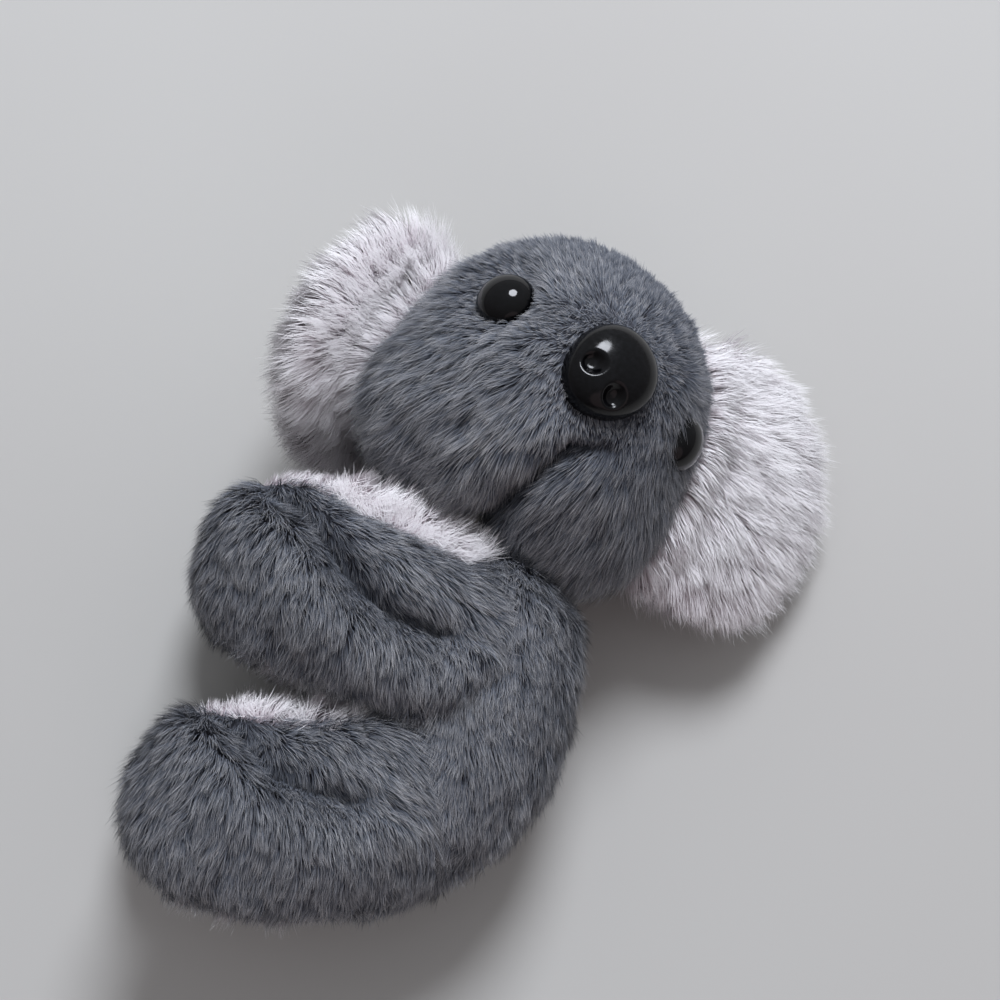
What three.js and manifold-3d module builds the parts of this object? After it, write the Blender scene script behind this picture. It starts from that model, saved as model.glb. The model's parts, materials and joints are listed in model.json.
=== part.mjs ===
// A small clip-on plush koala, lying on its right side with its head turned to its left.
// The toy is drawn upright first: x to its left, -y forward, z up its spine, with the
// hinge pin on the z axis and z = 0 at the skin under its feet. Then it is laid down.
// Lengths are in millimetres, angles in degrees.
import * as THREE from 'three';
import { mergeVertices } from 'three/addons/utils/BufferGeometryUtils.js';
import Module from 'manifold-3d';

const wasm = await Module();
wasm.setup();

// Cloth, gaps and cuts
const clearance = 0.3;
const cloth_thickness = 1.5;
const overrun = 80;
const weld_distance = 1e-5;
const flat_depth = 0.5;

// Pose on the floor and turn of the head
const lying_roll = 8;
const steepest_incline = 30;
const head_turn = 102;
const head_nod = 13;
const head_tilt = 12;

// Head
const head_above_torso = 22.9;
const head_half_width = 20.4;
const head_half_depth = 19.2;
const head_half_height = 21;
const muzzle_swell = 1.3;
const cheek_swell = 5;

// Ears
const ear_half_length = 19.4;
const ear_half_width = 16.4;
const ear_half_thickness = 6.6;
const left_ear = {
  left: 26, forward: 0, up: 6.5, slant_angle: 21, sweep_angle: 0, stretch_share: 1.04,
};
const right_ear = {
  left: -22.5, forward: -12.1, up: -3.7, slant_angle: -4, sweep_angle: 44, stretch_share: 0.93,
};

// Eyes and nose
const eye_radius = 4;
const eye_height = 3.1;
const eye_azimuth = 49;
const eye_elevation = -1;
const eye_seat_depth = 0.6;
const stud_radius = 1.2;
const stud_length = 6;
const nose_half_width = 6.1;
const nose_half_height = 6.6;
const nose_depth = 4.6;
const nose_fullness = 0.8;
const nose_broad_share = 0.1;
const nose_elevation = -9;
const nose_seat_depth = 0.8;
const nose_turn = -22;
const nostril_radius = 1.45;
const nostril_depth = 0.9;
const nostril_spacing = 4.8;
const nostril_drop = 2.4;
const washer_thickness = 1;
const washer_rim = 1.5;

// Torso
const torso_height = 57.6;
const head_centre_height = torso_height + head_above_torso;
const torso_half_depth = 13.2;
const torso_half_width = 14;
const belly_radius = 8;
const belly_half_angle = 42;
const back_half_angle = 32;

// Arms and legs
const arm_height = 43.8;
const arm_half_height = 11;
const arm_half_thickness = 6;
const arm_reach = 32.4;
const arm_spread = 11.6;
const leg_height = 13.4;
const leg_half_height = 11.1;
const leg_half_thickness = 6.2;
const leg_reach = 27.6;
const leg_spread = 11.6;
const leg_root_rise = 14;
const lining_rise = 1.6;

// Clip, pin and spring
const pin_radius = 1;
const pin_bottom = 31.5;
const pin_length = 22.5;
const knuckle_radius = 3.1;
const knuckle_length = 3;
const plate_thickness = 1.6;
const plate_reach = 12.6;
const plate_angle = 124;
const web_angle = 76;
const web_reach = 9.6;
const prong_width = 5;
const prong_thickness = 1.6;
const wire_radius = 0.4;
const coil_radius = 2.2;
const spring_turns = 4;
const spring_leg_length = 6.5;
const spring_leg_angle = 118;

// Neck
const neck_post_radius = 4;
const neck_disc_radius = 6.5;
const neck_slope_share = 0.5;
const neck_disc_thickness = 1.4;
const pin_seat_depth = 3;

// Grid counts
const head_rows = 14;
const head_columns = 24;
const ear_rows = 10;
const ear_columns = 16;
const limb_steps = 12;
const ring_sides = 20;
const round_sides = 24;
const coil_steps = 12;
const dome_steps = 7;
const wedge_steps = 8;

const rad = THREE.MathUtils.degToRad;
const at = (left, forward, up) => new THREE.Vector3(left, -forward, up);

// Solids and meshes

// Turns the faces of a closed body outwards, whichever way its rings were listed.
function faceOut(geometry) {
  const order = geometry.index.array;
  const [a, b, c] = [new THREE.Vector3(), new THREE.Vector3(), new THREE.Vector3()];
  let volume = 0;
  for (let i = 0; i < order.length; i += 3) {
    [a, b, c].forEach((corner, k) => corner.fromBufferAttribute(geometry.attributes.position, order[i + k]));
    volume += a.dot(b.cross(c));
  }
  if (volume > 0) return;
  for (let i = 0; i < order.length; i += 3) [order[i], order[i + 1]] = [order[i + 1], order[i]];
}

function solid(geometry) {
  const bare = geometry.index ? geometry.toNonIndexed() : geometry.clone();
  for (const name of Object.keys(bare.attributes)) {
    if (name !== 'position') bare.deleteAttribute(name);
  }
  const merged = mergeVertices(bare, weld_distance);
  faceOut(merged);
  return new wasm.Manifold(new wasm.Mesh({
    numProp: 3,
    vertProperties: new Float32Array(merged.attributes.position.array),
    triVerts: new Uint32Array(merged.index.array),
  }));
}

function geometryOf(manifold) {
  const mesh = manifold.getMesh();
  const geometry = new THREE.BufferGeometry();
  geometry.setAttribute('position', new THREE.BufferAttribute(mesh.vertProperties, 3));
  geometry.setIndex(new THREE.BufferAttribute(mesh.triVerts, 1));
  return geometry;
}

// Closes a stack of rings into one body. The first and last entries may be single points.
function loft(rings) {
  const points = [];
  const faces = [];
  const starts = rings.map((ring) => {
    const start = points.length;
    points.push(...ring);
    return start;
  });
  for (let i = 0; i + 1 < rings.length; i += 1) {
    const [low, high] = [rings[i], rings[i + 1]];
    const sides = Math.max(low.length, high.length);
    for (let j = 0; j < sides; j += 1) {
      const k = (j + 1) % sides;
      const a = starts[i] + (low.length === 1 ? 0 : j);
      const b = starts[i] + (low.length === 1 ? 0 : k);
      const c = starts[i + 1] + (high.length === 1 ? 0 : k);
      const d = starts[i + 1] + (high.length === 1 ? 0 : j);
      if (a !== b) faces.push(a, b, c);
      if (c !== d) faces.push(a, c, d);
    }
  }
  const geometry = new THREE.BufferGeometry();
  const flat = points.flatMap((p) => [p.x, p.y, p.z]);
  geometry.setAttribute('position', new THREE.Float32BufferAttribute(flat, 3));
  geometry.setIndex(faces);
  return geometry;
}

function tube(radius, bottom, length) {
  const geometry = new THREE.CylinderGeometry(radius, radius, length, round_sides);
  geometry.rotateX(rad(90));
  geometry.translate(0, 0, bottom + length / 2);
  return solid(geometry);
}

function box(width, depth, height, matrix) {
  return solid(new THREE.BoxGeometry(width, depth, height).applyMatrix4(matrix));
}

// Turns a plan outline, given as points (left, forward), into a tall prism.
function prism(outline, bottom = -overrun, height = 3 * overrun) {
  const shape = new THREE.Shape(outline.map((p) => new THREE.Vector2(p.x, -p.y)));
  const geometry = new THREE.ExtrudeGeometry(shape, { depth: height, bevelEnabled: false });
  geometry.translate(0, 0, bottom);
  return solid(geometry);
}

const bearing = (degrees, radius) => new THREE.Vector2(
  radius * Math.sin(rad(degrees)),
  radius * Math.cos(rad(degrees)),
);

// A wedge of the plan about the pin, from one bearing to another, both drawn in by half a gap.
function wedge(from, to) {
  const step = (to - from) / wedge_steps;
  const half_gap = clearance / 2;
  const apex_reach = half_gap / Math.sin(rad(Math.min(to - from, 180) / 2));
  const outline = [bearing((from + to) / 2, apex_reach)];
  for (let i = 0; i <= wedge_steps; i += 1) {
    const drawn_in = i === 0 ? half_gap : i === wedge_steps ? -half_gap : 0;
    const point = bearing(from + i * step, overrun);
    outline.push(point.add(bearing(from + i * step + 90, drawn_in)));
  }
  return prism(outline);
}

function mesh(name, manifold, material) {
  const made = new THREE.Mesh(geometryOf(manifold), material);
  made.name = name;
  return made;
}

const plush = (name, color) => new THREE.MeshStandardMaterial({
  name, color, roughness: 0.95, metalness: 0,
});
const grey_plush = () => plush('grey_plush', '#6f7580');
const white_plush = () => plush('white_plush', '#e9e8ec');
const filling = () => plush('polyester_filling', '#f1efe9');
const black_plastic = () => new THREE.MeshStandardMaterial({
  name: 'black_plastic', color: '#0c0c0e', roughness: 0.12, metalness: 0,
});
const white_plastic = () => new THREE.MeshStandardMaterial({
  name: 'white_plastic', color: '#dcdad2', roughness: 0.5, metalness: 0,
});
const steel = () => new THREE.MeshStandardMaterial({
  name: 'steel', color: '#b4b8bd', roughness: 0.35, metalness: 1,
});

// Head

const head_place = new THREE.Matrix4()
  .makeTranslation(0, 0, head_centre_height)
  .multiply(new THREE.Matrix4().makeRotationZ(rad(head_turn)))
  .multiply(new THREE.Matrix4().makeRotationX(rad(-head_nod)))
  .multiply(new THREE.Matrix4().makeRotationY(rad(head_tilt)));

// Direction from the head's centre at an azimuth to its left of the face, and an elevation.
const facing = (azimuth, elevation) => at(
  Math.sin(rad(azimuth)) * Math.cos(rad(elevation)),
  Math.cos(rad(azimuth)) * Math.cos(rad(elevation)),
  Math.sin(rad(elevation)),
);

function swell(direction, azimuth, elevation, width) {
  const off = direction.angleTo(facing(azimuth, elevation)) / rad(width);
  return Math.exp(-off * off);
}

function skinRadius(direction) {
  const squareness = 2.1;
  const [muzzle_elevation, muzzle_width] = [-12, 32];
  const [cheek_azimuth, cheek_elevation, cheek_width] = [86, -44, 27];
  const sum = Math.abs(direction.x / head_half_width) ** squareness
    + Math.abs(direction.y / head_half_depth) ** squareness
    + Math.abs(direction.z / head_half_height) ** squareness;
  return sum ** (-1 / squareness)
    + muzzle_swell * swell(direction, 0, muzzle_elevation, muzzle_width)
    + cheek_swell * swell(direction, cheek_azimuth, cheek_elevation, cheek_width)
    + cheek_swell * swell(direction, -cheek_azimuth, cheek_elevation, cheek_width);
}

function headShape(inset) {
  const rings = [[at(0, 0, -skinRadius(at(0, 0, -1)) + inset)]];
  for (let i = 1; i < head_rows; i += 1) {
    const ring = [];
    for (let j = 0; j < head_columns; j += 1) {
      const direction = facing(-360 * j / head_columns, 90 * (2 * i / head_rows - 1));
      ring.push(direction.clone().multiplyScalar(skinRadius(direction) - inset));
    }
    rings.push(ring);
  }
  rings.push([at(0, 0, skinRadius(at(0, 0, 1)) - inset)]);
  return solid(loft(rings).applyMatrix4(head_place));
}

// Place of a stud on the head: its z axis points out of the skin, its x axis to the left.
function seatOn(azimuth, elevation, sink, turn = 0) {
  const out = facing(azimuth, elevation);
  const side = new THREE.Vector3(0, 0, 1).cross(out).normalize();
  const place = new THREE.Matrix4().makeBasis(side, out.clone().cross(side), out);
  place.setPosition(out.multiplyScalar(skinRadius(out) - sink));
  place.multiply(new THREE.Matrix4().makeRotationZ(rad(turn)));
  return head_place.clone().multiply(place);
}

const stud_seats = {
  eye_left: { place: seatOn(eye_azimuth, eye_elevation, eye_seat_depth), rim: eye_radius },
  eye_right: { place: seatOn(-eye_azimuth, eye_elevation, eye_seat_depth), rim: eye_radius },
  nose: { place: seatOn(0, nose_elevation, nose_seat_depth, nose_turn), rim: nose_half_height },
};
const moved = (manifold, place) => solid(geometryOf(manifold).applyMatrix4(place));

function eye() {
  const profile = [new THREE.Vector2(0, -stud_length), new THREE.Vector2(stud_radius, -stud_length)];
  profile.push(new THREE.Vector2(stud_radius, 0), new THREE.Vector2(eye_radius, 0));
  for (let i = 1; i <= dome_steps; i += 1) {
    const turn = rad(90 * i / dome_steps);
    const reach = i === dome_steps ? 0 : eye_radius * Math.cos(turn);
    profile.push(new THREE.Vector2(reach, eye_height * Math.sin(turn)));
  }
  const geometry = new THREE.LatheGeometry(profile, round_sides);
  geometry.rotateX(rad(90));
  return solid(geometry);
}

// Egg outline of the nose in its own plane, broad end up.
function noseRing(share, height) {
  const ring = [];
  for (let j = 0; j < round_sides; j += 1) {
    const turn = rad(-360 * j / round_sides);
    const broad = 1 + nose_broad_share * Math.sin(turn);
    ring.push(new THREE.Vector3(
      share * nose_half_width * broad * Math.cos(turn),
      share * nose_half_height * Math.sin(turn),
      height,
    ));
  }
  return ring;
}

function nose() {
  const rings = [[new THREE.Vector3(0, 0, nose_depth)]];
  for (let i = 1; i < dome_steps; i += 1) {
    const turn = rad(90 * i / dome_steps);
    rings.push(noseRing(Math.sin(turn), nose_depth * Math.cos(turn) ** nose_fullness));
  }
  rings.push(noseRing(1, 0));
  rings.push([new THREE.Vector3(0, 0, 0)]);
  const dome = solid(loft(rings));
  let made = dome.add(tube(stud_radius, -stud_length, stud_length + nose_depth / 2));
  for (const side of [-1, 1]) {
    const left = side * nostril_spacing / 2;
    const off = (left / nose_half_width) ** 2 + (nostril_drop / nose_half_height) ** 2;
    const surface = nose_depth * (1 - off) ** (nose_fullness / 2);
    const hole = new THREE.CylinderGeometry(
      nostril_radius, nostril_radius / 2, 2 * nostril_depth, round_sides / 2,
    );
    hole.rotateX(rad(90));
    hole.translate(left, -nostril_drop, surface);
    made = made.subtract(solid(hole));
  }
  return made;
}

// How far a flat washer stands below the skin, so that its rim clears the curved cloth.
const sag = (rim) => head_half_width - Math.sqrt(head_half_width ** 2 - rim ** 2);
const washer_radius = (rim) => rim - washer_rim / 2;
const washerTop = (rim) => -(cloth_thickness + clearance + sag(washer_radius(rim)));

function washer(rim, gap) {
  const top = washerTop(rim) + gap;
  const ring = tube(washer_radius(rim) + gap, top - washer_thickness - 2 * gap, washer_thickness + 2 * gap);
  return gap > 0 ? ring : ring.subtract(tube(stud_radius + clearance, -overrun, overrun));
}

// Room for a stud in the head: a shallow pocket under its rim and a hole for its shank.
function studRoom(seat) {
  const pocket = tube(seat.rim + clearance, -clearance, overrun);
  const shank = tube(stud_radius + clearance, -stud_length - clearance, stud_length + 2 * clearance);
  return moved(pocket.add(shank), seat.place);
}

const head_bottom = head_centre_height - skinRadius(at(0, 0, -1));
const neck_washer_radius = neck_disc_radius;
// The head is tilted over the neck, so its skin slopes there by how tall it is for its depth.
const neck_slope = neck_slope_share * Math.abs(head_half_height - head_half_depth);
const neck_washer_bottom =
  head_bottom + cloth_thickness + sag(neck_washer_radius) + clearance + neck_slope;
const neck_disc_bottom = neck_washer_bottom + washer_thickness + clearance;
const neck_disc_top = neck_disc_bottom + neck_disc_thickness;
const neck_hole_radius = neck_post_radius + clearance;

function headSkin() {
  let made = headShape(0).subtract(headShape(cloth_thickness));
  made = made.subtract(tube(neck_hole_radius, head_bottom - cloth_thickness, 4 * cloth_thickness));
  for (const seat of Object.values(stud_seats)) made = made.subtract(studRoom(seat));
  return made;
}

function headFilling() {
  const socket_radius = neck_washer_radius + clearance;
  const socket_top = neck_disc_top + clearance;
  let made = headShape(cloth_thickness + clearance);
  made = made.subtract(tube(socket_radius, socket_top - overrun, overrun));
  for (const seat of Object.values(stud_seats)) {
    made = made.subtract(studRoom(seat)).subtract(moved(washer(seat.rim, clearance), seat.place));
  }
  return made;
}

function ear(spec) {
  const half_length = spec.stretch_share * ear_half_length;
  const rings = [[new THREE.Vector3(0, 0, -half_length)]];
  for (let i = 1; i < ear_rows; i += 1) {
    const turn = rad(-90 + 180 * i / ear_rows);
    const share = Math.cos(turn) ** 0.85;
    const ring = [];
    for (let j = 0; j < ear_columns; j += 1) {
      const round = rad(360 * j / ear_columns);
      ring.push(new THREE.Vector3(
        share * ear_half_width * Math.cos(round),
        share * ear_half_thickness * Math.sin(round),
        half_length * Math.sin(turn),
      ));
    }
    rings.push(ring);
  }
  rings.push([new THREE.Vector3(0, 0, half_length)]);
  const geometry = loft(rings);
  geometry.rotateZ(rad(spec.sweep_angle) * -Math.sign(spec.left));
  geometry.rotateY(rad(-spec.slant_angle));
  const place = at(spec.left, spec.forward, spec.up);
  geometry.translate(place.x, place.y, place.z);
  return solid(geometry.applyMatrix4(head_place)).subtract(headShape(-clearance));
}

function neckWasher() {
  const ring = tube(neck_washer_radius, neck_washer_bottom, washer_thickness);
  return ring.subtract(tube(neck_hole_radius, 0, 2 * head_centre_height));
}

// Torso, in rows from rump to neck: height, centre forward, half depth and half width,
// as shares of the torso's height, half depth and half width.
const torso_shares = [
  [0.125, 0.15, 0, 0],
  [0.155, 0.13, 0.48, 0.42],
  [0.21, 0.03, 0.71, 0.65],
  [0.29, -0.144, 0.84, 0.82],
  [0.40, -0.364, 0.97, 0.95],
  [0.54, -0.485, 1.015, 1],
  [0.69, -0.477, 0.977, 1],
  [0.83, -0.413, 0.89, 0.93],
  [0.92, -0.345, 0.79, 0.84],
  [0.975, -0.23, 0.58, 0.64],
  [1, -0.123, 0, 0],
];

function torsoShape(grow) {
  const rings = torso_shares.map(([height_share, forward_share, depth_share, width_share]) => {
    const height = height_share * torso_height;
    const forward = forward_share * torso_half_depth;
    if (depth_share === 0) return [at(0, forward, height + Math.sign(height_share - 0.5) * grow)];
    const ring = [];
    for (let j = 0; j < round_sides; j += 1) {
      const turn = rad(360 * j / round_sides);
      ring.push(at(
        (width_share * torso_half_width + grow) * Math.cos(turn),
        forward - (depth_share * torso_half_depth + grow) * Math.sin(turn),
        height,
      ));
    }
    return ring;
  });
  return solid(loft(rings));
}

// Clip

const barrel_radius = neck_post_radius + clearance;
const barrel_bottom = pin_bottom - clearance;
const pin_top = pin_bottom + pin_length;
const neck_post_bottom = pin_top - pin_seat_depth;
const knuckle_gap = clearance;
const clip_bottom = pin_bottom + knuckle_gap;
const clip_top = neck_post_bottom - clearance;
const spring_room = clip_top - clip_bottom - 4 * knuckle_length - 2 * knuckle_gap;
// Heights of the knuckles' undersides: two of each half below and above the spring.
const lower_knuckle = [clip_bottom, clip_bottom + knuckle_length + knuckle_gap];
const upper_knuckle = lower_knuckle.map((low) => low + 2 * knuckle_length + spring_room + knuckle_gap);

function axleBarrel() {
  const thin = tube(pin_radius + clearance, -overrun, 3 * overrun);
  return thin.add(tube(barrel_radius, barrel_bottom, overrun));
}

// A flat slab that stands along a bearing from the pin, or beside it by an offset.
function slab(angle, from, to, bottom, height, thickness, gap = 0, offset = 0) {
  const place = new THREE.Matrix4().makeRotationZ(rad(angle - 90));
  const move = new THREE.Matrix4().makeTranslation((from + to) / 2, offset, bottom + height / 2);
  return box(to - from + 2 * gap, thickness + 2 * gap, height + 2 * gap, place.multiply(move));
}

// Middle line of a limb in plan, from its root in the flank to the curled tip: left and
// forward as shares of its spread and reach, and height as a share of the root's rise.
const limb_path_shares = [
  [0.56, -0.3, 1], [0.8, -0.04, 0.6], [0.96, 0.22, 0.25], [1, 0.47, 0.06],
  [0.93, 0.7, 0], [0.6, 0.9, 0], [0.38, 0.98, 0],
];

const arm = {
  height: arm_height, half_height: arm_half_height, half_thickness: arm_half_thickness,
  reach: arm_reach, spread: arm_spread, rise: 0,
};
const leg = {
  height: leg_height, half_height: leg_half_height, half_thickness: leg_half_thickness,
  reach: leg_reach, spread: leg_spread, rise: leg_root_rise,
};

function limbPath(limb) {
  return new THREE.CatmullRomCurve3(limb_path_shares.map(([left_share, forward_share, rise_share]) => at(
    left_share * limb.spread,
    forward_share * limb.reach,
    limb.height + limb.rise * rise_share,
  )));
}

// Height and thickness of a limb along its path, as shares of its halves.
function limbShares(t) {
  const [root_until, round_from] = [0.2, 0.56];
  const before = Math.max(0, 1 - t / root_until);
  const past = Math.max(0, (t - round_from) / (1 - round_from));
  const root_share = Math.sqrt(1 - 0.8 * before ** 2);
  return [
    root_share * Math.sqrt(Math.max(0, 1 - past ** 2.4)),
    root_share * Math.sqrt(Math.max(0, 1 - past ** 3.2)),
  ];
}

// Stations are closest at the tip, where the limb rounds off.
const limbStation = (i) => 1 - (1 - i / limb_steps) ** 1.35;

function limbShape(limb) {
  const path = limbPath(limb);
  const rings = [];
  for (let i = 0; i <= limb_steps; i += 1) {
    const t = limbStation(i);
    const centre = path.getPoint(t);
    const along = path.getTangent(t);
    const side = new THREE.Vector3(0, 0, 1).cross(along).normalize();
    const up = along.clone().cross(side);
    const [height_share, thickness_share] = limbShares(t);
    if (i === limb_steps) {
      rings.push([centre]);
      break;
    }
    const ring = [];
    for (let j = 0; j < ring_sides; j += 1) {
      const turn = rad(360 * j / ring_sides);
      ring.push(centre.clone()
        .addScaledVector(side, thickness_share * limb.half_thickness * Math.cos(turn))
        .addScaledVector(up, height_share * limb.half_height * Math.sin(turn)));
    }
    rings.push(ring);
  }
  rings.unshift([path.getPoint(0)]);
  return solid(loft(rings));
}

// The plan area outside the limb's middle line, drawn off it by a gap.
function outerSide(limb, gap) {
  const path = limbPath(limb);
  const line = [];
  for (let i = 0; i <= limb_steps; i += 1) {
    const point = path.getPoint(limbStation(i));
    const along = path.getTangent(limbStation(i));
    line.push(new THREE.Vector2(point.x - along.y * gap, -point.y - along.x * gap));
  }
  const [before, last] = line.slice(-2);
  const beyond = last.clone().add(last.clone().sub(before).setLength(limb.half_height));
  const corner = new THREE.Vector2(overrun, overrun);
  return prism([...line, beyond, new THREE.Vector2(beyond.x, overrun), corner,
    new THREE.Vector2(overrun, -overrun), new THREE.Vector2(line[0].x, -overrun)]);
}

// A flat bar that follows a limb's middle line, from the web to the paw, through the
// given stations of that line.
function prong(limb, web_height, stations, gap) {
  const path = limbPath(limb);
  const start = bearing(web_angle, web_reach);
  const points = [at(start.x - prong_thickness / 2, start.y, web_height)];
  for (const t of stations) points.push(path.getPoint(t));
  const rings = points.map((point, i) => {
    const along = points[Math.min(i + 1, points.length - 1)].clone()
      .sub(points[Math.max(i - 1, 0)]).normalize();
    const ahead = i === 0 ? points[2].clone().sub(point) : along;
    const side = new THREE.Vector3(0, 0, 1).cross(ahead).normalize();
    const up = along.clone().cross(side);
    const end = i === 0 ? -1 : i === points.length - 1 ? 1 : 0;
    return [[1, 1], [-1, 1], [-1, -1], [1, -1]].map(([a, b]) => point.clone()
      .addScaledVector(along, end * gap)
      .addScaledVector(side, a * (prong_thickness / 2 + gap))
      .addScaledVector(up, b * (prong_width / 2 + gap)));
  });
  const middle = (ring) => [ring[0].clone().add(ring[2]).multiplyScalar(0.5)];
  return solid(loft([middle(rings[0]), ...rings, middle(rings[rings.length - 1])]));
}

// The leg's bar first goes down inside the flank, so that none of it bridges the waist.
const arm_prong_stations = [0.45, 0.55, 0.64, 0.72];
const leg_prong_stations = [0.24, 0.36, 0.45, 0.55, 0.64, 0.72];

// One clip half for the left side, with its knuckles at the given heights.
function clipHalf(knuckles, gap = 0) {
  const bottom = clip_bottom;
  const height = clip_top - clip_bottom;
  const inner = barrel_radius;
  let made = slab(plate_angle, inner, plate_reach, bottom, height, plate_thickness, gap);
  made = made.add(slab(web_angle, inner, web_reach, bottom, height, plate_thickness, gap));
  made = made.add(prong(arm, arm_height, arm_prong_stations, gap));
  made = made.add(prong(leg, bottom + prong_width / 2, leg_prong_stations, gap));
  for (const low of knuckles) {
    for (const angle of [plate_angle, web_angle]) {
      made = made.add(slab(angle, (pin_radius + knuckle_radius) / 2, inner + plate_thickness,
        low, knuckle_length, plate_thickness, gap));
    }
    made = made.add(tube(knuckle_radius + gap, low - gap, knuckle_length + 2 * gap));
  }
  return made.subtract(tube(pin_radius + clearance, -overrun, 3 * overrun));
}

// Spring wire: a leg along the left plate, the coil round the pin, a leg along the right plate.
const coil_bottom = lower_knuckle[1] + knuckle_length + clearance + wire_radius;
const coil_length = spring_room - 2 * clearance - 2 * wire_radius;
const coil_from = spring_leg_angle + 90;
const coil_turn = 360 * (spring_turns + 1) - 2 * coil_from;

class SpringCurve extends THREE.Curve {
  getPoint(t, target = new THREE.Vector3()) {
    const leg_share = 0.06;
    const turned = THREE.MathUtils.clamp((t - leg_share) / (1 - 2 * leg_share), 0, 1);
    const angle = coil_from + coil_turn * turned;
    const reach = spring_leg_length * Math.max(leg_share - t, t - 1 + leg_share, 0) / leg_share;
    const point = bearing(angle, coil_radius).add(bearing(angle + (t < 0.5 ? -90 : 90), reach));
    return target.set(point.x, -point.y, coil_bottom + coil_length * turned);
  }
}

function spring() {
  const section = new THREE.Shape();
  section.absarc(0, 0, wire_radius, 0, 2 * Math.PI);
  return solid(new THREE.ExtrudeGeometry(section, {
    steps: spring_turns * coil_steps + 10,
    curveSegments: 3,
    extrudePath: new SpringCurve(),
    bevelEnabled: false,
  }));
}

function neckPost() {
  const profile = [
    [pin_radius + clearance, neck_post_bottom],
    [neck_post_radius, neck_post_bottom],
    [neck_post_radius, neck_disc_bottom],
    [neck_disc_radius, neck_disc_bottom],
    [neck_disc_radius, neck_disc_top],
    [0, neck_disc_top],
    [0, pin_top + clearance],
    [pin_radius + clearance, pin_top + clearance],
    [pin_radius + clearance, neck_post_bottom],
  ].map(([radius, height]) => new THREE.Vector2(radius, height));
  const geometry = new THREE.LatheGeometry(profile, round_sides);
  geometry.rotateX(rad(90));
  return solid(geometry);
}

const mirror = new THREE.Matrix4().makeScale(-1, 1, 1);
const mirrored = (manifold) => solid(geometryOf(manifold).applyMatrix4(mirror));

// Everything on one side of the toy, drawn on the left and mirrored for the right.
function sidePieces(knuckles, flip) {
  const clip_room = clipHalf(knuckles, clearance).add(tube(pin_radius, pin_bottom, pin_length));
  const torso_room = torsoShape(clearance).add(tube(belly_radius + clearance, -overrun, 3 * overrun));
  const flank = torsoShape(0)
    .intersect(wedge(belly_half_angle, 180 - back_half_angle))
    .subtract(axleBarrel())
    .subtract(clip_room)
    .subtract(springRoom());
  const pieces = { flank, clip_half: clipHalf(knuckles) };
  for (const [name, limb] of [['arm', arm], ['leg', leg]]) {
    const lining = {
      ...limb,
      height: limb.height + lining_rise / 2,
      half_height: limb.half_height + lining_rise / 2,
    };
    const room = torso_room.add(clip_room);
    pieces[name] = limbShape(limb).intersect(outerSide(limb, clearance / 2)).subtract(room);
    pieces[`${name}_lining`] = limbShape(lining).subtract(outerSide(limb, -clearance / 2))
      .subtract(room);
  }
  return Object.fromEntries(Object.entries(pieces).map(([name, made]) => [
    name, flip ? mirrored(made) : made,
  ]));
}

// Slot for the spring leg behind the left plate, as tall as the coil.
function springRoom() {
  const low = lower_knuckle[1] + knuckle_length;
  return slab(spring_leg_angle, 0, spring_leg_length, low, spring_room, 2 * wire_radius,
    clearance, coil_radius);
}

function spinePieces() {
  const belly = torsoShape(0).intersect(wedge(-belly_half_angle, belly_half_angle))
    .intersect(tube(belly_radius, -overrun, 3 * overrun)).subtract(axleBarrel());
  const back = torsoShape(0).intersect(wedge(180 - back_half_angle, 180 + back_half_angle))
    .subtract(axleBarrel()).subtract(springRoom()).subtract(mirrored(springRoom()));
  return { belly, back };
}

// Laying down: the roll is given, and the incline is where head and side both touch.

function layDown(incline) {
  const [c, s] = [Math.cos(rad(lying_roll)), Math.sin(rad(lying_roll))];
  const rolled = new THREE.Matrix4().makeBasis(
    new THREE.Vector3(s, 0, c), new THREE.Vector3(c, 0, -s), new THREE.Vector3(0, 1, 0),
  );
  return new THREE.Matrix4().makeRotationX(rad(incline)).multiply(rolled);
}

function cornersOf(manifolds, matrix) {
  const bounds = new THREE.Box3();
  for (const manifold of manifolds) {
    bounds.union(new THREE.Box3().setFromBufferAttribute(
      geometryOf(manifold).applyMatrix4(matrix).attributes.position,
    ));
  }
  return bounds;
}

function restIncline(head, side) {
  let [low, high] = [0, steepest_incline];
  for (let i = 0; i < 24; i += 1) {
    const middle = (low + high) / 2;
    const place = layDown(middle);
    if (cornersOf(head, place).min.z < cornersOf(side, place).min.z) low = middle;
    else high = middle;
  }
  return (low + high) / 2;
}

const left = sidePieces(lower_knuckle.slice(0, 1).concat(upper_knuckle[0]), false);
const right = sidePieces(lower_knuckle.slice(1).concat(upper_knuckle[1]), true);
const spine = spinePieces();
const head = {
  head_cover: headSkin(),
  ear_left: ear(left_ear),
  ear_right: ear(right_ear),
};

const incline = restIncline(Object.values(head), Object.values(right));
const laid = layDown(incline);
const touching = cornersOf([...Object.values(head), ...Object.values(right)], laid);
const floor_height = touching.min.z + flat_depth;

// Cuts flat whatever reaches below the floor.
function flatCut(manifold) {
  if (cornersOf([manifold], laid).min.z >= floor_height) return manifold;
  const above = new THREE.Matrix4().makeTranslation(0, 0, floor_height + 2 * overrun);
  const place = laid.clone().invert().multiply(above);
  return manifold.intersect(box(4 * overrun, 4 * overrun, 4 * overrun, place));
}

const toy = new THREE.Group();
const part = new THREE.Group();

function place(name, manifold, material) {
  toy.add(mesh(name, flatCut(manifold), material));
}

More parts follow.
